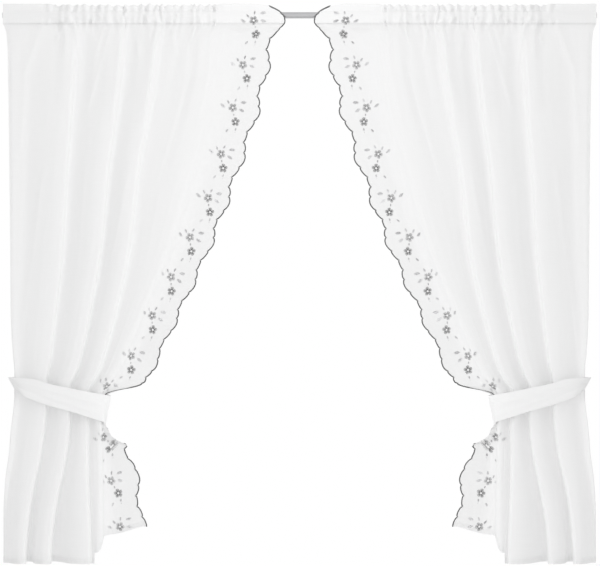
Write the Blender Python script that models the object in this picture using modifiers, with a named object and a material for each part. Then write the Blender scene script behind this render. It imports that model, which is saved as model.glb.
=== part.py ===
"""A pair of sheer voile curtains hanging by a sewn pocket on one thin rod, each drawn aside by a tieback.

Metres, +Z up, +X to the right of someone in the room, +Y towards the window. The origin is the
middle of the rod's axis. Each panel is one sheet of cloth: it starts at the raw edge behind the
rod, runs up and over as a frill, comes down in front of the rod and falls to the hem. The right
panel is worked out as "reach", the distance from the middle of the rod, and the left one is its
mirror image, as the pair hangs.
"""

import math
from collections import namedtuple

import bmesh
import bpy
import numpy as np

# Rod
ROD_DIAMETER = 0.019
ROD_END = 0.906
ROD_SIDES = 24

# Cloth, as cut: distances across it are measured from the outer side edge. The hem is the last row
CLOTH_WIDTH = 0.998
CLOTH_THICKNESS = 0.0012
HEM_THICKNESS = 0.0020
FLAT_CLOTH = 0.137
BORDER_WIDTH = 0.171
BORDER_BEND = 0.16
BORDER_TURN = 0.52
RIDGE_CLOTH = CLOTH_WIDTH - BORDER_WIDTH
FLAT_SHARE = 0.205

# Scalloped leading edge: one repeat is one broad scallop and three narrow ones
SCALLOP_REPEAT = 0.140
BROAD_SCALLOP = 0.046
NARROW_SCALLOPS = 3
SCALLOP_BULGE = 0.0065
SCALLOP_SWING = 0.010
SCALLOP_START = 0.030
SCALLOP_POINT_SPACING = 0.0103

# Columns of the grid are further apart than this
COLUMN_GAP = 0.006

# Frill and rod pocket, seen from the side: y is before (-) or behind (+) the middle of the heading,
# z above the rod's axis, sway how far the gathers move the row, puff how far they swell it round the
# rod, and dip how far they let it sink
HeadingRow = namedtuple("HeadingRow", "y z sway puff dip")
HEADING = (
    HeadingRow(0.0018, -0.0290, 1.0, 0.0, 0),
    HeadingRow(0.0018, -0.0245, 1.0, 0.0, 0),
    HeadingRow(0.0119, -0.0040, 0.0, 1.0, 0),
    HeadingRow(0.0086, 0.0088, 0.0, 0.5, 0),
    HeadingRow(0.0018, 0.0150, 1.0, 0.0, 0),
    HeadingRow(0.0014, 0.0340, 1.2, 0.0, 1),
    HeadingRow(-0.0014, 0.0340, 1.2, 0.0, 1),
    HeadingRow(-0.0018, 0.0150, 1.0, 0.0, 0),
    HeadingRow(-0.0086, 0.0088, 0.0, -0.5, 0),
    HeadingRow(-0.0119, -0.0040, 0.0, -1.0, 0),
    HeadingRow(-0.0018, -0.0245, 1.0, 0.0, 0),
)
FRILL_TOP = 6
GATHER_PUFF = 0.012
GATHER_DIP = 0.004
GATHER_FADE = 0.05

# The drape at each drop below the rod: where the outer edge and the leading ridge hang, how the
# border turns back from the ridge (degrees) and how much of its width it takes up there, the half
# depths of folds and gathers, how far the row slants down towards the ridge, and how much of the
# raised hem it has
Station = namedtuple("Station", "drop outer ridge turn_in turn_out take fold gather slant settle")
STATIONS = (
    Station(0.0245, 0.9040, 0.2320, 0, 0, 1.00, 0.001, 0.0080, 0.000, 0.00),
    Station(0.0340, 0.9000, 0.2350, 0, 0, 1.00, 0.001, 0.0080, 0.000, 0.00),
    Station(0.0550, 0.8940, 0.2430, 22, -14, 1.00, 0.004, 0.0070, 0.000, 0.00),
    Station(0.1000, 0.8910, 0.2555, 36, -14, 0.99, 0.011, 0.0050, 0.000, 0.00),
    Station(0.1580, 0.8906, 0.2632, 40, -14, 0.98, 0.018, 0.0030, 0.000, 0.00),
    Station(0.2580, 0.8890, 0.2846, 40, -14, 0.98, 0.023, 0.0015, 0.000, 0.00),
    Station(0.4720, 0.8865, 0.3420, 54, -14, 0.95, 0.028, 0.0000, 0.000, 0.00),
    Station(0.6700, 0.8845, 0.3960, 64, -14, 0.85, 0.032, 0.0000, 0.004, 0.00),
    Station(0.7770, 0.8835, 0.4370, 64, -14, 0.80, 0.033, 0.0000, 0.010, 0.00),
    Station(0.8680, 0.8830, 0.4780, 64, -14, 0.76, 0.033, 0.0000, 0.016, 0.00),
    Station(0.9690, 0.8800, 0.5240, 66, -14, 0.72, 0.033, 0.0000, 0.026, 0.00),
    Station(1.0400, 0.8750, 0.5640, 68, -5, 0.67, 0.033, 0.0000, 0.045, 0.00),
    Station(1.0700, 0.8720, 0.5880, 72, -5, 0.60, 0.035, 0.0000, 0.052, 0.01),
    Station(1.0950, 0.8710, 0.6080, 86, 80, 0.30, 0.037, 0.0000, 0.052, 0.02),
    Station(1.1500, 0.8710, 0.6100, 88, 80, 0.25, 0.038, 0.0000, 0.080, 0.04),
    Station(1.1900, 0.8730, 0.6090, 80, 6, 0.28, 0.038, 0.0000, 0.075, 0.10),
    Station(1.2300, 0.8780, 0.6100, 66, 0, 0.31, 0.036, 0.0000, 0.062, 0.18),
    Station(1.2650, 0.8820, 0.6110, 66, -5, 0.46, 0.035, 0.0000, 0.050, 0.25),
    Station(1.3300, 0.8870, 0.6115, 82, -14, 0.57, 0.036, 0.0000, 0.032, 0.42),
    Station(1.4200, 0.8990, 0.6115, 97, -14, 0.76, 0.041, 0.0000, 0.015, 0.62),
    Station(1.5200, 0.9040, 0.6115, 96, -14, 0.85, 0.046, 0.0000, 0.005, 0.80),
    Station(1.6455, 0.9040, 0.6115, 98, -14, 0.95, 0.048, 0.0000, 0.000, 0.97),
    Station(1.6705, 0.9040, 0.6115, 98, -14, 0.97, 0.048, 0.0000, 0.000, 1.00),
)
HEADING_DROP = STATIONS[0].drop
HEM_DROP = STATIONS[-1].drop

# Lengthwise folds from the outer edge to the leading ridge: crests and troughs in turn. Shares of
# that way under the heading, at the tieback and at the hem, and levels there as shares of the fold
# depth, before (-) or behind (+) the middle
Knot = namedtuple("Knot", "share tied_share low_share level tied_level low_level")
KNOTS = (
    Knot(0.000, 0.000, 0.000, 0.42, 0.20, 0.20),
    Knot(0.095, 0.060, 0.025, 0.50, 0.30, 0.20),
    Knot(0.308, 0.352, 0.218, -0.80, -0.65, -0.80),
    Knot(0.345, 0.388, 0.252, 0.70, 0.60, 1.05),
    Knot(0.539, 0.632, 0.478, -0.95, -0.75, -0.85),
    Knot(0.576, 0.667, 0.515, 0.80, 0.60, 1.10),
    Knot(0.705, 0.845, 0.893, -0.50, -0.45, -0.85),
    Knot(0.745, 0.885, 0.935, 0.42, -0.10, -0.30),
    Knot(1.000, 1.000, 1.000, -0.70, -0.65, -0.65),
)
FOLD_DROP = 0.40
TIED_DROP = 1.22
NARROW_WALL = 0.05
WALL_PARTS = (0.25, 0.5, 0.75)
WIDE_WALL_PARTS = (0.07, 0.18, 0.9)

# A wall of cloth between a crest and a trough is steepest halfway for a skew of 1, and nearer to its
# start for a smaller one. Its steepest angle (radians) comes from a table
EVEN_SKEW = 1.0
ROUND_SKEW = 0.6
STEEPEST = (0.02, 2.05)
TABLE_ROWS = 83
TABLE_COLUMNS = 65

# Uneven strength of the small gathers, from the outer one to the one beside the border, the last
# one's, and how far into the border that dies out
GATHER_REACHES = (0.7, 1.0, 0.9, 1.1, 0.8, 1.0, 1.2, 0.9, 1.1, 0.8, 1.0)
LAST_GATHER_REACH = -0.5
LAST_GATHER_FADE = 0.02

# How far the hem is drawn up towards the leading edge, by distance past the leading ridge
HEM_RISES = ((-0.150, 0.0), (-0.128, 0.032), (0.0, 0.036), (0.026, 0.080), (0.083, 0.087), (0.171, 0.111))
BORDER_PARTS = (0.08, 0.16, 0.28, 0.40, 0.52, 0.76, 1.0)
LEAD_SAG = 0.25

# Tieback: a soft band round the waist of the cloth. Its upper and lower edges at each reach
TieSection = namedtuple("TieSection", "reach top bottom")
TIE_SECTIONS = (
    TieSection(0.580, -1.160, -1.246),
    TieSection(0.627, -1.150, -1.229),
    TieSection(0.691, -1.137, -1.208),
    TieSection(0.767, -1.121, -1.187),
    TieSection(0.816, -1.107, -1.170),
    TieSection(0.889, -1.100, -1.134),
)
TIE_MIDDLE_Y = 0.001
TIE_HALF_DEPTH = 0.0422
TIE_SQUARENESS = 2.6
TIE_THICKNESS = 0.002
TIE_STEPS = 40
TIE_ROWS = 3

Look = namedtuple("Look", "colour roughness metallic")
VOILE = Look((0.93, 0.93, 0.92, 1.0), 0.85, 0.0)
METAL = Look((0.72, 0.72, 0.73, 1.0), 0.35, 0.9)


def smooth(x, knots, values):
    """A curve through the knots that never swings past a value."""
    knots, values = np.asarray(knots, float), np.asarray(values, float)
    gap = np.diff(knots)
    slope = np.diff(values) / gap
    tangent = np.concatenate([slope[:1], np.zeros(len(slope) - 1), slope[-1:]])
    product = slope[1:] * slope[:-1]
    same_way = product > 0
    total = np.where(same_way, slope[1:] + slope[:-1], 1.0)
    tangent[1:-1] = np.where(same_way, 2 * product / total, 0.0)
    i = np.clip(np.searchsorted(knots, x, side="right") - 1, 0, len(gap) - 1)
    t = np.clip((x - knots[i]) / gap[i], 0.0, 1.0)
    rise = t * t * (3 - 2 * t)
    lean_in = t * (1 - t) ** 2 * gap[i] * tangent[i]
    lean_out = t * t * (1 - t) * gap[i] * tangent[i + 1]
    return values[i] * (1 - rise) + values[i + 1] * rise + lean_in - lean_out


def wave(x, knots, levels):
    """Half a cosine from each knot's level to the next one's."""
    i = np.clip(np.searchsorted(knots, x, side="right") - 1, 0, len(knots) - 2)
    t = np.clip((x - knots[i]) / (knots[i + 1] - knots[i]), 0.0, 1.0)
    return levels[i] + (levels[i + 1] - levels[i]) * (1 - np.cos(np.pi * t)) / 2


def ease(x, start, end):
    """0 before start and 1 after end, softly."""
    t = np.clip((x - start) / (end - start), 0.0, 1.0)
    return t * t * (3 - 2 * t)


def wall_tables(skew):
    """How far walls of each steepness get onwards and sideways, by the part of their length."""
    parts = np.linspace(0.0, 1.0, TABLE_COLUMNS)
    angles = np.linspace(*STEEPEST, TABLE_ROWS)[:, None] * np.sin(np.pi * parts**skew)
    tables = []
    for rates in (np.cos(angles), np.sin(angles)):
        steps = (rates[:, 1:] + rates[:, :-1]) / 2 * np.diff(parts)
        tables.append(np.concatenate([np.zeros((TABLE_ROWS, 1)), np.cumsum(steps, axis=1)], axis=1))
    return tables


EVEN_WALL, ROUND_WALL = wall_tables(EVEN_SKEW), wall_tables(ROUND_SKEW)


def wall(tables, part, onwards, sideways):
    """Shares of its way, (onwards, sideways), that a bent wall of cloth has made at a part of its
    length."""
    ratio = np.abs(sideways) / np.maximum(np.abs(onwards), 1e-6)
    row = np.interp(ratio, tables[1][:, -1] / tables[0][:, -1], np.arange(TABLE_ROWS))
    column = np.clip(part, 0.0, 1.0) * (TABLE_COLUMNS - 1)
    i = np.minimum(row.astype(int), TABLE_ROWS - 2)
    j = np.minimum(column.astype(int), TABLE_COLUMNS - 2)
    u, v = row - i, column - j
    ways = []
    for table in tables:
        here = (table[i, j] * (1 - v) + table[i, j + 1] * v) * (1 - u)
        here = here + (table[i + 1, j] * (1 - v) + table[i + 1, j + 1] * v) * u
        ways.append(here / (table[i, -1] * (1 - u) + table[i + 1, -1] * u))
    return ways


SHARES, TIED_SHARES, LOW_SHARES, LEVELS, TIED_LEVELS, LOW_LEVELS = (np.array(column) for column in zip(*KNOTS))
GATHERED = FLAT_CLOTH + (SHARES - FLAT_SHARE) / (1 - FLAT_SHARE) * (RIDGE_CLOTH - FLAT_CLOTH)
FOLD_CLOTH = np.where(SHARES < FLAT_SHARE, FLAT_CLOTH * SHARES / FLAT_SHARE, GATHERED)


def gather_knots():
    """Small gathers, evenly over the gathered cloth: a crest, then a dip and a crest in turn."""
    places = np.linspace(FLAT_CLOTH, RIDGE_CLOTH, 2 * len(GATHER_REACHES) + 1)
    levels = [0.0]
    for reach in GATHER_REACHES:
        levels += [reach, -reach]
    levels[-1] = LAST_GATHER_REACH
    ends = [RIDGE_CLOTH + LAST_GATHER_FADE, CLOTH_WIDTH]
    return np.concatenate([[0.0], places, ends]), np.array([0.0] + levels + [0.0, 0.0])


GATHER_CLOTH, GATHER_LEVELS = gather_knots()


def swept(angle_in, angle_out, length):
    """How far a strip gets, (towards the middle, backwards), while its heading turns evenly."""
    change = angle_out - angle_in
    change = np.where(np.abs(change) < 1e-6, 1e-6, change)
    onwards = (np.sin(angle_in + change) - np.sin(angle_in)) / change
    backwards = (np.cos(angle_in) - np.cos(angle_in + change)) / change
    return length * onwards, length * backwards


def station_at(drop):
    """The drape's values at these drops, as one Station of arrays."""
    drops = [row.drop for row in STATIONS]
    return Station(
        drop,
        *(smooth(drop, drops, [row[k] for row in STATIONS]) for k in range(1, len(Station._fields))),
    )


def folds_at(across, here):
    """The share of the way to the ridge, and the folds' y, at a distance across the cloth."""
    knot = np.clip(np.searchsorted(FOLD_CLOTH, across, side="right") - 1, 0, len(FOLD_CLOTH) - 2)
    part = (across - FOLD_CLOTH[knot]) / (FOLD_CLOTH[knot + 1] - FOLD_CLOTH[knot])
    tied, low = ease(here.drop, FOLD_DROP, TIED_DROP), ease(here.drop, TIED_DROP, HEM_DROP)
    ends = []
    for k in (knot, knot + 1):
        share = SHARES[k] + (TIED_SHARES[k] - SHARES[k]) * tied + (LOW_SHARES[k] - TIED_SHARES[k]) * low
        level = LEVELS[k] + (TIED_LEVELS[k] - LEVELS[k]) * tied + (LOW_LEVELS[k] - TIED_LEVELS[k]) * low
        ends.append((share, level * here.fold))
    (share, y), (next_share, next_y) = ends
    way = (next_share - share) * (here.outer - here.ridge)
    even, rounded = (wall(tables, part, way, next_y - y) for tables in (EVEN_WALL, ROUND_WALL))
    onwards, sideways = (np.where(LEVELS[knot + 1] < LEVELS[knot], b, a) for a, b in zip(even, rounded))
    return share + (next_share - share) * onwards, y + (next_y - y) * sideways


def hang(across, drop):
    """Reach, y and z of cloth below the pocket, from its distance across and its drop below the rod."""
    here = station_at(drop)
    share, fold = folds_at(np.minimum(across, RIDGE_CLOTH), here)
    y = HEADING[-1].y + fold + here.gather * wave(across, GATHER_CLOTH, GATHER_LEVELS)

    # The border bends back at the ridge, turns round again, and goes on straight
    border = np.maximum(across - RIDGE_CLOTH, 0.0) * here.take
    bend, turn = (part * BORDER_WIDTH * here.take for part in (BORDER_BEND, BORDER_TURN))
    turn_in, turn_out = np.radians(here.turn_in), np.radians(here.turn_out)
    first = np.minimum(border, bend)
    second = np.clip(border - bend, 0.0, turn - bend)
    straight = np.maximum(border - turn, 0.0)
    inwards, back = swept(0 * turn_in, turn_in * first / bend, first)
    inwards_2, back_2 = swept(turn_in, turn_in + (turn_out - turn_in) * second / (turn - bend), second)
    reach = here.outer + (here.ridge - here.outer) * share - inwards - inwards_2 - straight * np.cos(turn_out)
    y = y + back + back_2 + straight * np.sin(turn_out)

    past_ridge = np.maximum(across - RIDGE_CLOTH, 0.0) / BORDER_WIDTH
    rise = smooth(across - RIDGE_CLOTH, *zip(*HEM_RISES))
    z = -drop - here.slant * (share + LEAD_SAG * past_ridge) + rise * here.settle
    return reach, y, z


def head(across, row):
    """Reach, y and z of cloth in the frill and pocket, at or between the rows of HEADING."""
    numbers = np.arange(len(HEADING))
    y, z, sway, puff, dip = (np.interp(row, numbers, column) for column in zip(*HEADING))
    top = STATIONS[0]
    share = np.interp(np.minimum(across, RIDGE_CLOTH), FOLD_CLOTH, SHARES)
    border = np.maximum(across - RIDGE_CLOTH, 0.0)
    gathers = wave(across, GATHER_CLOTH, GATHER_LEVELS)
    from_ends = np.minimum(across - FLAT_CLOTH, RIDGE_CLOTH - across)
    gathered = np.clip(from_ends / GATHER_FADE, 0, 1)
    swell = GATHER_PUFF * puff * gathered * np.maximum(1 + np.sign(puff) * gathers, 0) / 2
    sink = GATHER_DIP * dip * gathered * np.maximum(1 + gathers, 0) / 2
    reach = top.outer + (top.ridge - top.outer) * share - border
    return reach, y + sway * top.gather * gathers + swell, z - sink


def scallop(length):
    """How far the leading edge bulges past the plain cut, at a length down it from the frill's top."""
    place = np.mod(np.asarray(length, float) - SCALLOP_START, SCALLOP_REPEAT)
    narrow = (SCALLOP_REPEAT - BROAD_SCALLOP) / NARROW_SCALLOPS
    cusps = np.array([0.0] + [BROAD_SCALLOP + narrow * k for k in range(NARROW_SCALLOPS + 1)])
    i = np.clip(np.searchsorted(cusps, place, side="right") - 1, 0, NARROW_SCALLOPS)
    t = (place - cusps[i]) / (cusps[i + 1] - cusps[i])
    swing = SCALLOP_SWING * np.cos(2 * np.pi * (place - BROAD_SCALLOP / 2) / SCALLOP_REPEAT)
    return swing + SCALLOP_BULGE * np.sqrt(np.clip(1 - (2 * t - 1) ** 2, 0, 1))


def edge_lengths():
    """Drops down the front and the length of the plain leading edge from the top of the frill to each."""
    drops = np.linspace(HEADING_DROP, HEM_DROP, 400)
    points = np.array(hang(np.full_like(drops, CLOTH_WIDTH), drops)).T
    steps = np.linalg.norm(np.diff(points, axis=0), axis=1)
    frill_to_pocket = HEADING[FRILL_TOP].z + HEADING_DROP
    return drops, frill_to_pocket + np.concatenate([[0.0], np.cumsum(steps)])


EDGE_DROPS, EDGE_LENGTHS = edge_lengths()


def drape(across, row):
    """Reach, y and z of any point of the cloth, by row: the rows of HEADING, then one a station."""
    last_head = len(HEADING) - 1
    is_head = row <= last_head
    stations = np.arange(len(STATIONS)) + last_head
    drop = np.interp(row, stations, [station.drop for station in STATIONS])
    head_point = head(across, np.minimum(row, last_head))
    hung_point = hang(across, drop)
    return [np.where(is_head, a, b) for a, b in zip(head_point, hung_point)]


def length_down_edge(row):
    """Length from the top of the frill, down the front or down the back."""
    last_head = len(HEADING) - 1
    stations = np.arange(len(STATIONS)) + last_head
    drop = np.interp(row, stations, [station.drop for station in STATIONS])
    z = np.interp(row, np.arange(len(HEADING)), [r.z for r in HEADING])
    down_heading = HEADING[FRILL_TOP].z - z
    return np.where(row <= last_head, down_heading, np.interp(drop, EDGE_DROPS, EDGE_LENGTHS))


def cloth_columns():
    """Distances across the cloth for the grid: crests, troughs, points along the walls between them,
    gathers, the hem's steps, and the border."""
    kept = list(FOLD_CLOTH)
    for start, end, share, next_share in zip(FOLD_CLOTH, FOLD_CLOTH[1:], SHARES, SHARES[1:]):
        parts = WALL_PARTS if next_share - share < NARROW_WALL else WIDE_WALL_PARTS
        kept += [start + (end - start) * part for part in parts]
    steps = [RIDGE_CLOTH + place for place, _ in HEM_RISES if place < 0]
    for place in steps + list(GATHER_CLOTH[1:-2]):
        if min(abs(place - column) for column in kept) > COLUMN_GAP:
            kept.append(place)
    return np.array(sorted(kept) + [RIDGE_CLOTH + BORDER_WIDTH * part for part in BORDER_PARTS])


def cut_cloth():
    """The flat cut: a grid with a scalloped leading edge. Each point's x is its distance across the
    cloth and its y its row number."""
    columns = cloth_columns()
    rows = len(HEADING) + len(STATIONS) - 2
    mesh = bmesh.new()
    bmesh.ops.create_grid(mesh, x_segments=len(columns) - 1, y_segments=rows, size=0.5)
    for vert in mesh.verts:
        column = round((vert.co.x + 0.5) * (len(columns) - 1))
        vert.co = (columns[column], (vert.co.y + 0.5) * rows, 0.0)

    cut_scallops(mesh, rows)
    return mesh


def cut_scallops(mesh, rows):
    """Splits the leading edge between its rows and moves its points out to the scalloped line."""

    def on_lead(vert):
        return vert.co.x > CLOTH_WIDTH - 1e-6

    lengths = length_down_edge(np.arange(rows + 1.0))
    for row in range(rows):
        points = round(abs(float(lengths[row + 1] - lengths[row])) / SCALLOP_POINT_SPACING)
        between = [
            edge
            for edge in mesh.edges
            if all(on_lead(vert) and abs(vert.co.y - row - 0.5) < 0.51 for vert in edge.verts)
        ]
        if points > 1:
            bmesh.ops.subdivide_edges(mesh, edges=between, cuts=points - 1)
    lead_verts = [vert for vert in mesh.verts if on_lead(vert)]
    bulges = scallop(length_down_edge(np.array([vert.co.y for vert in lead_verts])))
    for vert, bulge in zip(lead_verts, bulges):
        vert.co.x += float(bulge)
    many_sided = [face for face in mesh.faces if len(face.verts) > 4]
    bmesh.ops.triangulate(mesh, faces=many_sided)


def add_thickness(sheet, thickness):
    """Gives an open sheet its thickness, half on each side."""
    thicken = sheet.modifiers.new("thickness", "SOLIDIFY")
    thicken.thickness = thickness
    thicken.offset = 0.0
    thicken.use_even_offset = True
    return thicken


def add_panel(name, side, material):
    """One curtain panel: the flat cut, hung, then given its thickness, double at the hem."""
    cut = cut_cloth()
    flat = np.array([vert.co for vert in cut.verts])
    hung = np.array(drape(flat[:, 0], flat[:, 1])).T
    for vert, (reach, y, z) in zip(cut.verts, hung):
        vert.co = (side * reach, y, z)
    bmesh.ops.triangulate(cut, faces=cut.faces, quad_method="SHORT_EDGE")
    bmesh.ops.recalc_face_normals(cut, faces=cut.faces)
    data = bpy.data.meshes.new(name)
    cut.to_mesh(data)
    cut.free()
    panel = bpy.data.objects.new(name, data)
    data.materials.append(material)

    last_row = flat[:, 1].max()
    hem = panel.vertex_groups.new(name="hem")
    hem.add(np.flatnonzero(flat[:, 1] > last_row - 1.01).tolist(), 1.0, "REPLACE")
    thicken = add_thickness(panel, HEM_THICKNESS)
    thicken.vertex_group = hem.name
    thicken.thickness_vertex_group = CLOTH_THICKNESS / HEM_THICKNESS
    return panel


def add_tieback(name, side, material):
    """A closed soft band round the gathered cloth, wider where it faces the middle of the window."""
    band = bmesh.new()
    bmesh.ops.create_grid(band, x_segments=TIE_STEPS, y_segments=TIE_ROWS, size=0.5)
    reaches = [section.reach for section in TIE_SECTIONS]
    centre, half = (reaches[-1] + reaches[0]) / 2, (reaches[-1] - reaches[0]) / 2
    power = 2 / TIE_SQUARENESS
    for vert in band.verts:
        turn = 2 * math.pi * (vert.co.x + 0.5)
        height = vert.co.y + 0.5
        x, y = math.cos(turn), math.sin(turn)
        reach = centre + half * math.copysign(abs(x) ** power, x)
        depth = TIE_MIDDLE_Y + TIE_HALF_DEPTH * math.copysign(abs(y) ** power, y)
        top = float(smooth(reach, reaches, [section.top for section in TIE_SECTIONS]))
        bottom = float(smooth(reach, reaches, [section.bottom for section in TIE_SECTIONS]))
        vert.co = (side * reach, depth, bottom + (top - bottom) * height)
    bmesh.ops.remove_doubles(band, verts=band.verts, dist=1e-5)
    bmesh.ops.recalc_face_normals(band, faces=band.faces)
    data = bpy.data.meshes.new(name)
    band.to_mesh(data)
    band.free()
    tie = bpy.data.objects.new(name, data)
    data.materials.append(material)
    add_thickness(tie, TIE_THICKNESS)
    return tie


def add_rod(material):
    """The plain round rod that both panels hang from."""
    bpy.ops.mesh.primitive_cylinder_add(
        vertices=ROD_SIDES,
        radius=ROD_DIAMETER / 2,
        depth=2 * ROD_END,
        rotation=(0, math.pi / 2, 0),
    )
    rod = bpy.context.object
    rod.name = "rod"
    rod.data.materials.append(material)
    rod.data.shade_smooth()
    rod.data.set_sharp_from_angle(angle=math.radians(40))
    return rod


def principled(name, look):
    """A material with one Principled BSDF."""
    material = bpy.data.materials.new(name)
    material.use_nodes = True
    shader = material.node_tree.nodes["Principled BSDF"]
    shader.inputs["Base Color"].default_value = look.colour
    shader.inputs["Roughness"].default_value = look.roughness
    shader.inputs["Metallic"].default_value = look.metallic
    return material


def main():
    for old in list(bpy.data.objects):
        bpy.data.objects.remove(old)
    pair = bpy.data.collections.new("voile_curtains_on_rod")
    bpy.context.scene.collection.children.link(pair)
    voile = principled("voile", VOILE)
    metal = principled("rod_metal", METAL)

    rod = add_rod(metal)
    for holder in list(rod.users_collection):
        holder.objects.unlink(rod)
    pair.objects.link(rod)
    for name, side in (("left", -1), ("right", 1)):
        pair.objects.link(add_panel(f"{name}_panel", side, voile))
        pair.objects.link(add_tieback(f"{name}_tieback", side, voile))


main()
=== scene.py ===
"""A pair of sheer voile curtains on a thin rod, tied back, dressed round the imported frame.

Metres, +Z up, +Y towards the window. The right panel is worked out as "reach", the distance from the
middle of the rod, and the left one is its mirror image, as the pair hangs.
"""

import math
from collections import namedtuple

import bmesh
import bpy
import numpy as np
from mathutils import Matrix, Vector


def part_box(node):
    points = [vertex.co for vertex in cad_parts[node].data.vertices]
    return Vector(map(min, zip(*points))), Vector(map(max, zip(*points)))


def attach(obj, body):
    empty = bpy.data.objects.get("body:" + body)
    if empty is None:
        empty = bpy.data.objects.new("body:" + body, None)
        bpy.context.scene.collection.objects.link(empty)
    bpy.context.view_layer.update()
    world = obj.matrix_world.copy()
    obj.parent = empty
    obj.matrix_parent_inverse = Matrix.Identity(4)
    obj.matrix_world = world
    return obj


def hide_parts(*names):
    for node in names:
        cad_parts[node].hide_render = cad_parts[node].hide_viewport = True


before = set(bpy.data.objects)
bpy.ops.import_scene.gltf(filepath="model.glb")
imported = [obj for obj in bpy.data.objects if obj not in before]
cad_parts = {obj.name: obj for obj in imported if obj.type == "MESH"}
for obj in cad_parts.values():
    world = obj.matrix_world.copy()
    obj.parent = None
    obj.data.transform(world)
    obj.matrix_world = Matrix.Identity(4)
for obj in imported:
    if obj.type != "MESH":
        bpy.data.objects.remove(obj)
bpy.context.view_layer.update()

# ---------------------------------------------------------------------------------------------- rod
# A thin-walled steel tube, 19 mm across, with a satin nickel finish and plugged ends. The pockets of
# both panels are threaded on it. It shows only in the gap between the two frills.


class Wire:
    """A socket of a node tree. Arithmetic on it adds the Math nodes that work it out."""

    def __init__(self, tree, socket=None):
        self.tree, self.socket = tree, socket

    def node(self, kind, settings=None, inputs=None, out=0):
        """Adds a node: first its settings, then the values or links of its sockets."""
        made = self.tree.nodes.new(kind)
        for name, value in (settings or {}).items():
            if name == "stops":
                ramp = made.color_ramp.elements
                while len(ramp) < len(value):
                    ramp.new(0.5)
                for stop, (position, grey) in zip(ramp, value):
                    stop.position, stop.color = position, (grey, grey, grey, 1.0)
            else:
                setattr(made, name, value)
        for name, value in (inputs or {}).items():
            if isinstance(value, Wire):
                self.tree.links.new(value.socket, made.inputs[name])
            else:
                made.inputs[name].default_value = value
        return Wire(self.tree, made.outputs[out])

    def math(self, operation, first, second=0.0):
        return self.node("ShaderNodeMath", {"operation": operation}, {0: first, 1: second})

    def __add__(self, other):
        return self.math("ADD", self, other)

    def __sub__(self, other):
        return self.math("SUBTRACT", self, other)

    def __mul__(self, other):
        return self.math("MULTIPLY", self, other)

    def __rsub__(self, other):
        return self.math("SUBTRACT", other, self)

    __radd__, __rmul__ = __add__, __mul__

    def scaled(self, factors):
        """This vector times a vector."""
        return self.node("ShaderNodeVectorMath", {"operation": "MULTIPLY"}, {0: self, 1: factors})

    def noise(self, factors, detail=2.0):
        """Soft noise from 0 to 1, stretched by these factors along each axis."""
        place = {"Vector": self.scaled(factors), "Scale": 1.0, "Detail": detail}
        return self.node("ShaderNodeTexNoise", {"noise_dimensions": "3D"}, place)

    def between(self, low, high):
        """A colour between two greys or colours, by this factor."""
        low, high = ((*shade, 1.0) for shade in (low, high))
        mixed = {0: self, 6: low, 7: high}
        return self.node("ShaderNodeMix", {"data_type": "RGBA"}, mixed, out=2)


def new_material(name):
    """An empty material and the wire that its nodes grow from."""
    material = bpy.data.materials.new(name)
    material.use_nodes = True
    material.node_tree.nodes.clear()
    return material, Wire(material.node_tree)


def finish_material(material, shader):
    output = material.node_tree.nodes.new("ShaderNodeOutputMaterial")
    material.node_tree.links.new(shader.socket, output.inputs["Surface"])
    return material


def satin_nickel():
    """Nickel with the fine drawn lines that run along the tube."""
    material, start = new_material("satin_nickel")
    place = start.node("ShaderNodeTexCoord", out="Object")
    drawn = place.noise((6.0, 1400.0, 1400.0))
    worn = place.noise((18.0, 60.0, 60.0), detail=4.0)
    bump = start.node("ShaderNodeBump", None, {"Strength": 0.15, "Distance": 0.0003, "Height": drawn})
    metal = {
        "Base Color": (drawn * 0.6 + worn * 0.4).between((0.50, 0.50, 0.51), (0.68, 0.68, 0.69)),
        "Metallic": 1.0,
        "Roughness": 0.26 + worn * 0.16,
        "Normal": bump,
    }
    return finish_material(material, start.node("ShaderNodeBsdfPrincipled", None, metal))


def new_piece(name, mesh, material):
    """A mesh as a piece of the object: it takes its finish, its place and the body it rides on."""
    piece = bpy.data.objects.new(name, mesh)
    bpy.context.scene.collection.objects.link(piece)
    if material.name not in mesh.materials:
        mesh.materials.append(material)
    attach(piece, "root")
    return piece


def tube_mesh(low, high, radius, sides=64, edge=0.0012):
    """A plugged tube along X: its half section, turned round the axis."""
    section = [(0.0, 0.0), (0.0, 0.55), (0.0006, 0.58), (0.0006, 0.82)]
    points = [(x, share * radius) for x, share in section]
    points += [(0.0, 0.86 * radius), (0.0, radius - edge), (0.3 * edge, radius - 0.3 * edge), (edge, radius)]
    profile = [(low + x, r) for x, r in points] + [(high - x, r) for x, r in reversed(points)]
    shape = bmesh.new()
    verts = [shape.verts.new((x, 0.0, r)) for x, r in profile]
    edges = [shape.edges.new(pair) for pair in zip(verts, verts[1:])]
    bmesh.ops.spin(shape, geom=verts + edges, axis=(1, 0, 0), cent=(0, 0, 0), angle=math.tau, steps=sides)
    bmesh.ops.remove_doubles(shape, verts=shape.verts, dist=1e-6)
    bmesh.ops.recalc_face_normals(shape, faces=shape.faces)
    mesh = bpy.data.meshes.new("rod")
    shape.to_mesh(mesh)
    shape.free()
    mesh.shade_smooth()
    mesh.set_sharp_from_angle(angle=math.radians(35))
    return mesh


rod_low, rod_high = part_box("rod")
rod = new_piece("curtain_rod", tube_mesh(rod_low.x, rod_high.x, rod_high.z), satin_nickel())
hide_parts("rod")

# ------------------------------------------------------------------------------------- voile panels
# Each panel is one length of plain-woven polyester voile. Its top is turned over to the back and
# stitched twice, which makes the frill and the rod pocket. The side and the foot have narrow
# stitched hems, and the leading edge is cut in scallops.

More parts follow.
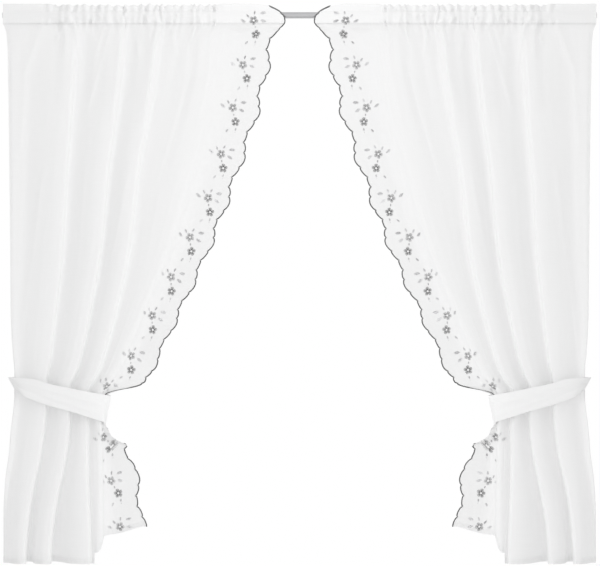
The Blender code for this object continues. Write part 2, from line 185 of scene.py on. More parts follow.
# The cut without its side hem, and the border: the part of its width past the leading ridge where the
# cloth bends back, and the part by which it has turned round again
CLOTH_WIDTH, BORDER_WIDTH = 0.998, 0.171
BORDER_BEND, BORDER_TURN = 0.16, 0.52
RIDGE_CLOTH = CLOTH_WIDTH - BORDER_WIDTH

# The cloth by the outer edge hangs almost flat: its width, and its share of the way to the ridge
FLAT_CLOTH, FLAT_SHARE = 0.137, 0.205

# Frill and pocket from the side: y before (-) or behind (+) the heading's middle, z above the rod's
# axis, then how far the gathers sway the row, puff it round the rod and let it dip
HeadingRow = namedtuple("HeadingRow", "y z sway puff dip")
HEADING = (
    HeadingRow(-0.0079, -0.0290, 1.0, 0.0, 0),
    HeadingRow(-0.0079, -0.0245, 1.0, 0.0, 0),
    HeadingRow(0.0125, -0.0040, 0.0, 0.5, 0),
    HeadingRow(0.0110, 0.0088, 0.0, 0.3, 0),
    HeadingRow(-0.0079, 0.0150, 1.0, 0.0, 0),
    HeadingRow(-0.0083, 0.0340, 1.2, 0.0, 1),
    HeadingRow(-0.0111, 0.0340, 1.2, 0.0, 1),
    HeadingRow(-0.0115, 0.0150, 1.0, 0.0, 0),
    HeadingRow(-0.0135, 0.0070, 0.1, -0.6, 0),
    HeadingRow(-0.0140, -0.0040, 0.0, -0.7, 0),
    HeadingRow(-0.0123, -0.0245, 1.0, 0.0, 0),
)
FRILL_TOP, TOP_STITCH, LOW_STITCH = 6, 7, 10
GATHER_PUFF, GATHER_DIP, GATHER_FADE = 0.011, 0.008, 0.05

# The frill's leading corner droops towards the outer edge from this height up: down and sideways
CORNER_FOOT, CORNER_DROP, CORNER_IN = 0.002, 0.006, 0.028

# The hung cloth's middle, and the drop by which the cloth has come back to it from the heading
HUNG_Y, HUNG_DROP = -0.0018, 0.14

# The drape at each drop below the rod: where the outer edge and the leading ridge hang, the turn of
# the border back from the ridge (degrees) and the share of its width there, half depths of folds and
# gathers, the slant towards the ridge, and the share of the raised hem
Station = namedtuple("Station", "drop outer ridge turn_in turn_out take fold gather slant settle")
STATIONS = (
    Station(0.0245, 0.9040, 0.2320, 0, 0, 1.00, 0.001, 0.0055, 0.000, 0.00),
    Station(0.0340, 0.9000, 0.2350, 0, 0, 1.00, 0.001, 0.0055, 0.000, 0.00),
    Station(0.0550, 0.8940, 0.2430, 22, -14, 1.00, 0.004, 0.0050, 0.000, 0.00),
    Station(0.1000, 0.8910, 0.2555, 36, -14, 0.99, 0.011, 0.0040, 0.000, 0.00),
    Station(0.1580, 0.8906, 0.2632, 40, -14, 0.98, 0.018, 0.0030, 0.000, 0.00),
    Station(0.2580, 0.8890, 0.2846, 40, -14, 0.98, 0.023, 0.0015, 0.000, 0.00),
    Station(0.4720, 0.8865, 0.3420, 54, -14, 0.95, 0.028, 0.0000, 0.000, 0.00),
    Station(0.6700, 0.8845, 0.3960, 64, -14, 0.85, 0.032, 0.0000, 0.004, 0.00),
    Station(0.7770, 0.8835, 0.4370, 64, -14, 0.80, 0.033, 0.0000, 0.010, 0.00),
    Station(0.8680, 0.8830, 0.4780, 64, -14, 0.76, 0.033, 0.0000, 0.016, 0.00),
    Station(0.9690, 0.8800, 0.5240, 66, -14, 0.72, 0.033, 0.0000, 0.026, 0.00),
    Station(1.0400, 0.8750, 0.5640, 68, -5, 0.68, 0.033, 0.0000, 0.045, 0.00),
    Station(1.0700, 0.8720, 0.5880, 72, -5, 0.74, 0.035, 0.0000, 0.052, 0.01),
    Station(1.0950, 0.8710, 0.6080, 86, 60, 0.52, 0.037, 0.0000, 0.052, 0.02),
    Station(1.1200, 0.8710, 0.6100, 90, 100, 0.34, 0.038, 0.0000, 0.066, 0.03),
    Station(1.1600, 0.8710, 0.6100, 85, 48, 0.29, 0.038, 0.0000, 0.080, 0.04),
    Station(1.1900, 0.8730, 0.6090, 72, 6, 0.29, 0.038, 0.0000, 0.075, 0.10),
    Station(1.2300, 0.8780, 0.6100, 66, 0, 0.38, 0.036, 0.0000, 0.062, 0.18),
    Station(1.2650, 0.8820, 0.6110, 66, -5, 0.56, 0.035, 0.0000, 0.050, 0.25),
    Station(1.2950, 0.8845, 0.6112, 72, -10, 0.59, 0.035, 0.0000, 0.040, 0.34),
    Station(1.3300, 0.8870, 0.6115, 82, -14, 0.57, 0.036, 0.0000, 0.032, 0.42),
    Station(1.4200, 0.8990, 0.6115, 97, -14, 0.76, 0.041, 0.0000, 0.015, 0.62),
    Station(1.5200, 0.9040, 0.6115, 96, -14, 0.85, 0.046, 0.0000, 0.005, 0.80),
    Station(1.6455, 0.9040, 0.6115, 98, -14, 0.95, 0.048, 0.0000, 0.000, 0.97),
    Station(1.6705, 0.9040, 0.6115, 98, -14, 0.97, 0.048, 0.0000, 0.000, 1.00),
)
HEADING_DROP, HEM_DROP = STATIONS[0].drop, STATIONS[-1].drop

# Crests and troughs from the outer edge to the leading ridge: shares of that way above the tieback,
# at it and at the hem, then their levels there as shares of the folds' half depth, into the room if
# negative. The cloth rises roundly from each trough and drops steeply past each crest
Knot = namedtuple("Knot", "share tied_share low_share level tied_level low_level")
KNOTS = (
    Knot(0.000, 0.000, 0.000, 0.42, 0.20, 0.20),
    Knot(0.095, 0.060, 0.025, 0.50, 0.30, 0.20),
    Knot(0.308, 0.352, 0.218, -0.80, -0.65, -0.80),
    Knot(0.345, 0.388, 0.252, 0.70, 0.60, 1.05),
    Knot(0.539, 0.632, 0.478, -0.95, -0.75, -0.85),
    Knot(0.576, 0.667, 0.515, 0.80, 0.60, 1.10),
    Knot(0.705, 0.845, 0.893, -0.50, -0.45, -0.85),
    Knot(0.745, 0.885, 0.935, 0.42, -0.10, -0.30),
    Knot(1.000, 1.000, 1.000, -0.70, -0.65, -0.65),
)

# The drops where the folds start to be drawn together, and where they hang as at the tieback and hem
DRAWN_DROP, TIED_DROP, LOW_DROP = 0.40, 1.22, 1.67

# How far the hem is drawn up, by distance past the leading ridge, and how far the cloth sags there
HEM_RISES = ((-0.150, 0.0), (-0.128, 0.032), (0.0, 0.036), (0.026, 0.080), (0.083, 0.087), (0.171, 0.111))
LEAD_SAG = 0.25

# The tieback holds the cloth still: how much, and the drops over which it takes hold and lets go
TIE_HOLD, TIE_HOLD_DROPS = 0.85, (1.02, 1.10, 1.22, 1.32)

# By the tieback the border's edge is folded behind it. The fold lies at a share of the border's width,
# forms over the first two drops, and slants out past the edge over the last two
TUCK_FOLD, TUCK_END, TUCK_DROPS = 0.72, 1.08, (1.055, 1.090, 1.250, 1.312)
TUCK_GAP = 0.006

# The border's edge swings a little: how far, and over what length
FLUTTER, FLUTTER_LENGTH = 0.0035, 0.21

# Heights of ripples and crumples as shares of their lengths, how much more the frill and pocket are
# crumpled, and the drops over which that dies out below them
RIPPLE_HEIGHT, CRUMPLE_HEIGHT = 0.0030, 0.013
HEAD_CRUMPLE, CRUMPLE_DROPS = 2.2, (0.015, 0.060)

# Main creases: each is a line from a share and drop to another. It falls off softly
# towards the outer edge and towards the leading edge by its two widths, and stands out into the room
# by its height, or sinks if that is negative
Crease = namedtuple("Crease", "share drop low_share low_drop outer_width inner_width height")
CREASES = (
    Crease(0.175, 0.020, 0.085, 0.170, 0.020, 0.010, 0.006),
    Crease(0.085, 0.170, 0.062, 0.400, 0.016, 0.010, 0.003),
    Crease(0.336, 0.035, 0.306, 0.280, 0.040, 0.009, 0.008),
    Crease(0.490, 0.030, 0.400, 0.300, 0.016, 0.006, 0.004),
    Crease(0.544, 0.028, 0.538, 0.300, 0.030, 0.007, 0.012),
    Crease(0.714, 0.028, 0.701, 0.300, 0.034, 0.007, 0.014),
    Crease(0.770, 0.030, 0.808, 0.120, 0.008, 0.005, 0.004),
    Crease(0.965, 0.030, 0.985, 0.320, 0.070, 0.022, 0.014),
    Crease(0.904, 0.140, 0.858, 0.540, 0.008, 0.014, -0.003),
    Crease(0.274, 0.024, 0.238, 0.080, 0.008, 0.005, 0.005),
    Crease(0.282, 0.024, 0.280, 0.125, 0.009, 0.005, 0.005),
    Crease(0.321, 0.024, 0.350, 0.140, 0.008, 0.005, 0.005),
    Crease(0.460, 0.024, 0.430, 0.110, 0.008, 0.005, 0.004),
    Crease(0.600, 0.024, 0.630, 0.120, 0.008, 0.005, 0.004),
    Crease(0.192, 0.480, 0.150, 0.720, 0.012, 0.007, 0.002),
    Crease(0.150, 0.720, 0.090, 1.000, 0.012, 0.007, 0.002),
    Crease(0.669, 0.500, 0.657, 0.780, 0.014, 0.007, 0.003),
)


def smooth(x, knots, values):
    """A curve through the knots that never swings past a value."""
    knots, values = np.asarray(knots, float), np.asarray(values, float)
    gap = np.diff(knots)
    slope = np.diff(values) / gap
    tangent = np.concatenate([slope[:1], np.zeros(len(slope) - 1), slope[-1:]])
    product = slope[1:] * slope[:-1]
    same_way = product > 0
    total = np.where(same_way, slope[1:] + slope[:-1], 1.0)
    tangent[1:-1] = np.where(same_way, 2 * product / total, 0.0)
    i = np.clip(np.searchsorted(knots, x, side="right") - 1, 0, len(gap) - 1)
    t = np.clip((x - knots[i]) / gap[i], 0.0, 1.0)
    rise = t * t * (3 - 2 * t)
    lean_in = t * (1 - t) ** 2 * gap[i] * tangent[i]
    lean_out = t * t * (1 - t) * gap[i] * tangent[i + 1]
    return values[i] * (1 - rise) + values[i + 1] * rise + lean_in - lean_out


def wave(x, knots, levels):
    """Half a cosine from each knot's level to the next one's."""
    i = np.clip(np.searchsorted(knots, x, side="right") - 1, 0, len(knots) - 2)
    t = np.clip((x - knots[i]) / (knots[i + 1] - knots[i]), 0.0, 1.0)
    return levels[i] + (levels[i + 1] - levels[i]) * (1 - np.cos(np.pi * t)) / 2


# Walls of cloth between crests and troughs: their steepest angles, and the parts of the way along them
TURNS, PARTS = np.linspace(0.02, 2.05, 83), np.linspace(0.0, 1.0, 65)


def wall_tables(skew):
    """How far walls get onwards and sideways. They are steepest halfway for a skew of 1, and nearer to
    their start for a smaller one."""
    angles = TURNS[:, None] * np.sin(np.pi * PARTS**skew)
    tables = []
    for rates in (np.cos(angles), np.sin(angles)):
        steps = (rates[:, 1:] + rates[:, :-1]) / 2 * np.diff(PARTS)
        tables.append(np.concatenate([np.zeros((len(TURNS), 1)), np.cumsum(steps, axis=1)], axis=1))
    return tables


EVEN_WALL, ROUND_WALL = wall_tables(1.0), wall_tables(0.60)


def wall(tables, part, onwards, sideways):
    """How far along its way, (onwards, sideways), a naturally bent wall of cloth is at a part of its
    length. A deep, narrow one overhangs."""
    ratios = tables[1][:, -1] / tables[0][:, -1]
    ratio = np.abs(sideways) / np.maximum(np.abs(onwards), 1e-6)
    row = np.interp(ratio, ratios, np.arange(len(TURNS)))
    column = np.clip(part, 0.0, 1.0) * (len(PARTS) - 1)
    i, j = np.minimum(row.astype(int), len(TURNS) - 2), np.minimum(column.astype(int), len(PARTS) - 2)
    u, v = row - i, column - j
    ways = []
    for table in tables:
        here = (table[i, j] * (1 - v) + table[i, j + 1] * v) * (1 - u)
        here = here + (table[i + 1, j] * (1 - v) + table[i + 1, j + 1] * v) * u
        ways.append(here / (table[i, -1] * (1 - u) + table[i + 1, -1] * u))
    return ways


def ease(x, start, end):
    """0 before start and 1 after end, softly."""
    t = np.clip((x - start) / (end - start), 0.0, 1.0)
    return t * t * (3 - 2 * t)


SHARES, TIED_SHARES, LOW_SHARES = (np.array(column) for column in list(zip(*KNOTS))[:3])
LEVELS, TIED_LEVELS, LOW_LEVELS = (np.array(column) for column in list(zip(*KNOTS))[3:])
GATHERED = FLAT_CLOTH + (SHARES - FLAT_SHARE) / (1 - FLAT_SHARE) * (RIDGE_CLOTH - FLAT_CLOTH)
FOLD_CLOTH = np.where(SHARES < FLAT_SHARE, FLAT_CLOTH * SHARES / FLAT_SHARE, GATHERED)


def folds_at(across, here):
    """The share of the way to the ridge, and the folds' y, at a distance across the cloth."""
    knot = np.clip(np.searchsorted(FOLD_CLOTH, across, side="right") - 1, 0, len(FOLD_CLOTH) - 2)
    part = (across - FOLD_CLOTH[knot]) / (FOLD_CLOTH[knot + 1] - FOLD_CLOTH[knot])
    tied, low = ease(here.drop, DRAWN_DROP, TIED_DROP), ease(here.drop, TIED_DROP, LOW_DROP)
    ends = []
    for k in (knot, knot + 1):
        share = SHARES[k] + (TIED_SHARES[k] - SHARES[k]) * tied + (LOW_SHARES[k] - TIED_SHARES[k]) * low
        level = LEVELS[k] + (TIED_LEVELS[k] - LEVELS[k]) * tied + (LOW_LEVELS[k] - TIED_LEVELS[k]) * low
        ends.append((share, level * here.fold))
    (share, y), (next_share, next_y) = ends
    way = (next_share - share) * (here.outer - here.ridge)
    even, rounded = (wall(tables, part, way, next_y - y) for tables in (EVEN_WALL, ROUND_WALL))
    onwards, sideways = (np.where(LEVELS[knot + 1] < LEVELS[knot], b, a) for a, b in zip(even, rounded))
    return share + (next_share - share) * onwards, y + (next_y - y) * sideways


def gather_knots(count, start, unevenness, seed):
    """Uneven gathers between a place on the cloth and the ridge: where each crest and dip lies."""
    chance = np.random.default_rng(seed)
    steps = chance.uniform(1 - unevenness, 1 + unevenness, 2 * count)
    cloth = start + (RIDGE_CLOTH - start) * np.cumsum(steps) / steps.sum()
    levels = np.tile([1.0, -1.0], count) * chance.uniform(1 - unevenness, 1.1, 2 * count)
    levels[-1] = -0.3
    ends = [RIDGE_CLOTH + 0.02, CLOTH_WIDTH]
    return np.concatenate([[0.0, start], cloth, ends]), np.concatenate([[0.0, 0.0], levels, [0.0, 0.0]])


BROAD_GATHERS = gather_knots(11, FLAT_CLOTH, 0.25, seed=4)
SMALL_GATHERS = gather_knots(25, FLAT_CLOTH - 0.01, 0.72, seed=11)
GATHER_ENDS = np.random.default_rng(3).choice([0.040, 0.060, 0.085, 0.150], len(SMALL_GATHERS[0]))


def gathers_at(across, drop):
    """The gathers' level: small and tight at the heading. They die out one by one below it, and leave
    a few broad ones."""
    joined = ease(drop, 0.02, 0.115)
    drifted = across + 0.0035 * np.sin(drop * 60.0 + 37.0 * across)
    ends = np.interp(drifted, SMALL_GATHERS[0], GATHER_ENDS)
    small = wave(drifted, *SMALL_GATHERS) * (1 - ease(drop, 0.020, ends))
    return small + 0.45 * wave(across, *BROAD_GATHERS) * joined


def creases_at(share, drop, width):
    """How far the listed creases stand out at a share of the way across and a drop."""
    out = np.zeros_like(share)
    for crease in CREASES:
        along = (drop - crease.drop) / (crease.low_drop - crease.drop)
        middle = crease.share + (crease.low_share - crease.share) * along
        fade = ease(along, -0.12, 0.08) * (1 - ease(along, 0.80, 1.15))
        away = (share - middle) * width
        side_width = np.where(away < 0, crease.outer_width, crease.inner_width)
        out += crease.height * fade / np.cosh(1.7 * away / side_width)
    return out


def ripples_at(across, down):
    """The small unevenness of soft cloth: long waves that run down it and die out in turn."""
    chance = np.random.default_rng(21)
    out = np.zeros_like(across)
    for length in np.geomspace(0.030, 0.16, 12):
        drift, start, beat = chance.uniform(-0.6, 0.6), chance.uniform(0, 7), chance.uniform(0.25, 0.9)
        swell = 0.5 + 0.5 * np.sin(down * math.tau / beat + chance.uniform(0, 7))
        onwards = across + drift * 0.1 * down
        out += RIPPLE_HEIGHT * length * swell * np.sin(math.tau * onwards / length + start)
    return out


def crumpled(across, down):
    """Small crossing wrinkles in patches, as in the tight gathers of the heading."""
    chance = np.random.default_rng(8)
    out = np.zeros_like(across)
    for length in np.geomspace(0.009, 0.040, 12):
        turn, start = chance.uniform(-1.0, 1.0), chance.uniform(0, 7)
        onwards = across * math.cos(turn) + down * math.sin(turn)
        out += CRUMPLE_HEIGHT * length * np.sin(math.tau * onwards / length + start)
    patches = np.sin(61.0 * across) + 0.8 * np.sin(143.0 * across + 2.0)
    return out * np.clip(0.6 + patches, 0.15, 1.6)


def swept(angle_in, angle_out, length):
    """How far a strip gets, (towards the middle, backwards), while its heading turns evenly."""
    change = angle_out - angle_in
    change = np.where(np.abs(change) < 1e-6, 1e-6, change)
    onwards = (np.sin(angle_in + change) - np.sin(angle_in)) / change
    backwards = (np.cos(angle_in) - np.cos(angle_in + change)) / change
    return length * onwards, length * backwards


def hang(across, drop):
    """Reach, y and z of cloth below the pocket."""
    drops = [row.drop for row in STATIONS]
    here = Station(drop, *(smooth(drop, drops, column) for column in list(zip(*STATIONS))[1:]))
    share, fold = folds_at(np.minimum(across, RIDGE_CLOTH), here)
    width = here.outer - here.ridge
    free = 1 - TIE_HOLD * ease(drop, *TIE_HOLD_DROPS[:2]) * (1 - ease(drop, *TIE_HOLD_DROPS[2:]))
    y = HUNG_Y + (HEADING[-1].y - HUNG_Y) * (1 - ease(drop, HEADING_DROP, HUNG_DROP))
    y = y + fold + here.gather * gathers_at(across, drop)
    gathered = ease(np.minimum(across - FLAT_CLOTH, RIDGE_CLOTH - across), 0.0, GATHER_FADE)
    y = y - creases_at(share, drop, width) * free + ripples_at(across, drop) * free
    y = y + crumpled(across, drop) * gathered * (1 - ease(drop, *CRUMPLE_DROPS))

    # The border bends back at the ridge, turns round again, and goes on straight
    border = np.maximum(across - RIDGE_CLOTH, 0.0) * here.take
    bend, turn = (share_of * BORDER_WIDTH * here.take for share_of in (BORDER_BEND, BORDER_TURN))
    turn_in, turn_out = np.radians(here.turn_in), np.radians(here.turn_out)
    first = np.minimum(border, bend)
    second = np.clip(border - bend, 0.0, turn - bend)
    straight = np.maximum(border - turn, 0.0)
    inwards, back = swept(np.zeros_like(turn_in), turn_in * first / bend, first)
    inwards_2, back_2 = swept(turn_in, turn_in + (turn_out - turn_in) * second / (turn - bend), second)
    inwards_2 = inwards_2 + straight * np.cos(turn_out)
    back_2 = back_2 + straight * np.sin(turn_out)

    # Past the fold by the tieback, the edge runs back the way it came, a little behind the border
    past_ridge = np.maximum(across - RIDGE_CLOTH, 0.0) / BORDER_WIDTH
    tucked = ease(drop, TUCK_DROPS[0], TUCK_DROPS[1])
    freed = np.maximum((drop - TUCK_DROPS[2]) / (TUCK_DROPS[3] - TUCK_DROPS[2]), 0.0) ** 1.5
    fold_line = TUCK_FOLD + (TUCK_END - TUCK_FOLD) * freed
    past_fold = np.maximum(past_ridge - fold_line, 0.0) * BORDER_WIDTH * here.take
    inwards_2 = inwards_2 - 2 * tucked * past_fold * np.cos(turn_out)
    back_2 = back_2 - tucked * (2 * past_fold * np.sin(turn_out) - np.minimum(past_fold * 2.0, TUCK_GAP))
    flutter = FLUTTER * past_ridge**1.5 * free * np.sin(math.tau * drop / FLUTTER_LENGTH + 1.0)
    rise = smooth(across - RIDGE_CLOTH, *zip(*HEM_RISES))
    z = -drop - here.slant * (share + LEAD_SAG * past_ridge) + rise * here.settle
    return here.outer - width * share - inwards - inwards_2, y + back + back_2 + flutter, z


def head(across, row):
    """Reach, y and z of cloth in the frill and pocket, at or between the rows of HEADING."""
    numbers = np.arange(len(HEADING))
    y, z, sway, puff, dip = (smooth(row, numbers, column) for column in zip(*HEADING))
    top = STATIONS[0]
    here = Station(*(np.full_like(y, value) for value in top))
    share, fold = folds_at(np.minimum(across, RIDGE_CLOTH), here)
    gathers = gathers_at(across, -z)
    gathered = ease(np.minimum(across - FLAT_CLOTH, RIDGE_CLOTH - across), 0.0, GATHER_FADE)
    swell = GATHER_PUFF * puff * gathered * np.maximum(1 + np.sign(puff) * gathers, 0) / 2
    sink = GATHER_DIP * dip * gathered * np.maximum(1 + gathers, 0) / 2
    reach = top.outer + (top.ridge - top.outer) * share - np.maximum(across - RIDGE_CLOTH, 0.0)
    fold = fold * ease(row, LOW_STITCH - 2, LOW_STITCH)
    low = ease(row, LOW_STITCH - 1, LOW_STITCH)
    y = y + sway * top.gather * gathers + swell + fold - creases_at(share, -z, top.outer - top.ridge) * low
    crumple = crumpled(across, -z) * HEAD_CRUMPLE * gathered * (1 - 0.5 * np.abs(puff))
    y = y + crumple + ripples_at(across, -z) * low
    corner = ease(np.maximum(across - RIDGE_CLOTH, 0.0) / BORDER_WIDTH, 0.50, 1.08)
    above_rod = np.maximum(z - CORNER_FOOT, 0.0) / (HEADING[FRILL_TOP].z - CORNER_FOOT)
    return reach + CORNER_IN * above_rod**1.4 * corner, y, z - sink - CORNER_DROP * above_rod * corner


def heading_downs():
    """Length of cloth down to each row of the heading. It meets the drop at the lower stitching."""
    rows = np.linspace(0, len(HEADING) - 1, 201)
    y, z = (smooth(rows, np.arange(len(HEADING)), column) for column in list(zip(*HEADING))[:2])
    lengths = np.concatenate([[0.0], np.cumsum(np.hypot(np.diff(y), np.diff(z)))])
    return rows, HEADING_DROP + lengths - lengths[-1]


HEAD_ROWS, HEAD_DOWNS = heading_downs()


def cloth(across, down):
    """Points of the right panel, by distance across the cloth and down it from the back of the pocket."""
    across, down = np.broadcast_arrays(np.asarray(across, float), np.asarray(down, float))
    on_head = down < HEADING_DROP
    headed = head(across, np.interp(down, HEAD_DOWNS, HEAD_ROWS))
    hung = hang(across, np.maximum(down, HEADING_DROP))
    return np.stack([np.where(on_head, a, b) for a, b in zip(headed, hung)], axis=-1)


def unit(vectors):
    return vectors / np.linalg.norm(vectors, axis=-1, keepdims=True)


def cloth_frame(across, down, step=0.0004):
    """The cloth's rates across and down at these points, and its normal, which points into the room."""
    over = (cloth(across + step, down) - cloth(across - step, down)) / (2 * step)
    along = (cloth(across, down + step) - cloth(across, down - step)) / (2 * step)
    return over, along, unit(np.cross(over, along))


# Scalloped edge: one repeat is one broad scallop and three narrow ones
SCALLOP_REPEAT, BROAD_SCALLOP, NARROW_SCALLOPS = 0.140, 0.046, 3
SCALLOP_BULGE, SCALLOP_SWING = 0.0075, 0.010


def scallop(number):
    """How far the leading edge bulges past the plain cut, by the repeats of the pattern before it."""
    place = np.mod(np.asarray(number, float) * SCALLOP_REPEAT + BROAD_SCALLOP / 2, SCALLOP_REPEAT)
    narrow = (SCALLOP_REPEAT - BROAD_SCALLOP) / NARROW_SCALLOPS
    cusps = np.array([0.0] + [BROAD_SCALLOP + narrow * k for k in range(NARROW_SCALLOPS + 1)])
    i = np.clip(np.searchsorted(cusps, place, side="right") - 1, 0, NARROW_SCALLOPS)
    t = (place - cusps[i]) / (cusps[i + 1] - cusps[i])
    swing = SCALLOP_SWING * np.cos(math.tau * (place - BROAD_SCALLOP / 2) / SCALLOP_REPEAT)
    return swing + SCALLOP_BULGE * np.sqrt(np.clip(1 - (2 * t - 1) ** 2, 0, 1))


def edge_lengths():
    """Places down the front, and the length of the leading edge from the frill's top to each."""
    top = np.interp(FRILL_TOP, HEAD_ROWS, HEAD_DOWNS)
    downs = np.linspace(top, HEM_DROP, 900)
    steps = np.linalg.norm(np.diff(cloth(CLOTH_WIDTH, downs), axis=0), axis=1)
    return downs, np.concatenate([[0.0], np.cumsum(steps)])


EDGE_DOWNS, EDGE_LENGTHS = edge_lengths()


def walk(across, down, right, below, steps=6):
    """The place on the cloth that is so far over its surface from another: right goes towards the
    leading edge, below down it."""
    for _ in range(steps):
        over, along, normal = cloth_frame(across, down)
        down_way = unit(along)
        right_way = np.cross(down_way, normal)
        step = (right_way * right[:, None] + down_way * below[:, None]) / steps
        pairs = ((over, over), (over, along), (along, along))
        first, mixed, second = (np.sum(a * b, axis=1) for a, b in pairs)
        by_over, by_along = np.sum(step * over, axis=1), np.sum(step * along, axis=1)
        area = first * second - mixed * mixed
        across = across + (by_over * second - by_along * mixed) / area
        down = down + (by_along * first - by_over * mixed) / area
    return across, down


# The pattern repeats with the broad scallops. Each drop is that of a sprig's upper flower, which lies
# level with the middle of a broad scallop, in from the plain edge by about the inset
PATTERN_DROPS = (0.017, 0.152, 0.283, 0.421, 0.553, 0.676, 0.798, 0.917, 1.041, 1.155, 1.289, 1.420, 1.561)
PATTERN_INSET = 0.069


def pattern_places():
    """Where each repeat of the pattern starts, down the leading edge."""
    downs = EDGE_DOWNS[::4]
    flowers = cloth(*walk(np.full_like(downs, CLOTH_WIDTH), downs, 0 * downs - PATTERN_INSET, 0 * downs))
    return np.interp(PATTERN_DROPS, np.maximum.accumulate(-flowers[:, 2]), downs)


PATTERN_DOWNS = pattern_places()


def pattern_at(down):
    """How many repeats of the pattern come before a place down the edge, on the front or the back."""
    top = EDGE_DOWNS[0]
    down = np.where(down < top, 2 * top - down, down)
    number = np.interp(down, PATTERN_DOWNS, np.arange(len(PATTERN_DOWNS)))
    length = np.interp(down, EDGE_DOWNS, EDGE_LENGTHS)
    places = np.interp(PATTERN_DOWNS, EDGE_DOWNS, EDGE_LENGTHS)
    before, after = np.minimum(length - places[0], 0), np.maximum(length - places[-1], 0)
    return number + (before + after) / SCALLOP_REPEAT


# Rows of points just below the pocket, where the cloth bends most: first, last and spacing
TOP_ROWS = (HEADING_DROP + 0.0025, 0.0700, 0.0025)


def scallop_downs():
    """Places down the edge, from the pocket to the hem: every cusp, and points closer together near it."""
    downs = np.linspace(HEADING_DROP, HEM_DROP, 4000)
    numbers = pattern_at(downs)
    narrow = (SCALLOP_REPEAT - BROAD_SCALLOP) / NARROW_SCALLOPS
    places = []
    for number in range(-1, len(PATTERN_DROPS) + 3):
        cusp = number * SCALLOP_REPEAT - BROAD_SCALLOP / 2
        for wide, points in ((BROAD_SCALLOP, 8), *[(narrow, 6)] * NARROW_SCALLOPS):
            places += list(cusp + wide * (1 - np.cos(np.pi * np.arange(points) / points)) / 2)
            cusp += wide
    downs = np.interp(np.array(places) / SCALLOP_REPEAT, numbers, downs)
    downs = downs[(downs > TOP_ROWS[1]) & (downs < HEM_DROP - 0.0015)]
    return np.concatenate([np.arange(*TOP_ROWS), downs, [HEM_DROP]])


SIDE_HEM, FOOT_HEM = 0.012, 0.018
HEM_GAP = 0.0006
COLUMN_WIDTH, FEWEST_COLUMNS, BORDER_COLUMNS, HEADING_ROWS = 0.0064, 14, 24, 47


def panel_grid():
    """Distances across and down for every point of a panel, hems included, and how far behind the
    cloth the hems lie there."""
    columns = [np.zeros(1)]
    for start, end in zip(FOLD_CLOTH, FOLD_CLOTH[1:]):
        count = max(round((end - start) / COLUMN_WIDTH), FEWEST_COLUMNS)
        columns.append(np.linspace(start, end, 1 + count)[1:])
    columns = np.concatenate(columns)[:-1]
    border = np.linspace(0.0, 1.0, BORDER_COLUMNS)
    side = np.linspace(SIDE_HEM, 0.0, 4)[:-1]
    heading = np.interp(np.linspace(0, len(HEADING) - 1, HEADING_ROWS), HEAD_ROWS, HEAD_DOWNS)
    downs = np.concatenate([heading[:-1], [HEADING_DROP], scallop_downs()])
    foot = HEM_DROP - np.linspace(0.0, FOOT_HEM, 5)[1:]
    down = np.concatenate([downs, foot])
    bulge = scallop(pattern_at(down))
    plain = np.concatenate([side, columns])
    lead = RIDGE_CLOTH + border * (BORDER_WIDTH + bulge[:, None])
    across = np.concatenate([np.broadcast_to(plain, (len(down), len(plain))), lead], axis=1)
    in_side = np.arange(across.shape[1]) < len(side)
    in_foot = np.arange(len(down)) >= len(downs)
    behind = HEM_GAP * np.where(in_foot[:, None], np.where(in_side, 1.4, 2.4), 1.0 * in_side)
    return across, np.broadcast_to(down[:, None], across.shape), behind


def grid_mesh(name, points, uv, side):
    """A smooth mesh over a grid of points, turned to the other side of the pair if side is -1."""
    rows, columns = points.shape[:2]
    corner = (np.arange(rows - 1)[:, None] * columns + np.arange(columns - 1)).ravel()
    faces = np.stack([corner, corner + 1, corner + columns + 1, corner + columns], axis=1)
    if side < 0:
        faces = faces[:, ::-1]
    mesh = bpy.data.meshes.new(name)
    mesh.vertices.add(rows * columns)
    mesh.vertices.foreach_set("co", (points * (side, 1, 1)).astype(np.float32).ravel())
    mesh.loops.add(faces.size)
    mesh.loops.foreach_set("vertex_index", faces.ravel().astype(np.int32))
    mesh.polygons.add(len(faces))
    mesh.polygons.foreach_set("loop_start", np.arange(0, faces.size, 4, dtype=np.int32))
    layer = mesh.uv_layers.new(name="cloth")
    layer.data.foreach_set("uv", uv.reshape(-1, 2)[faces.ravel()].astype(np.float32).ravel())
    mesh.update(calc_edges=True)
    mesh.shade_smooth()
    mesh.set_sharp_from_angle(angle=math.radians(100))
    return mesh


def panel_points(across, down, behind):
    return cloth(across, down) - cloth_frame(across, down)[2] * behind[..., None]


YARN_SCALE = 420.0


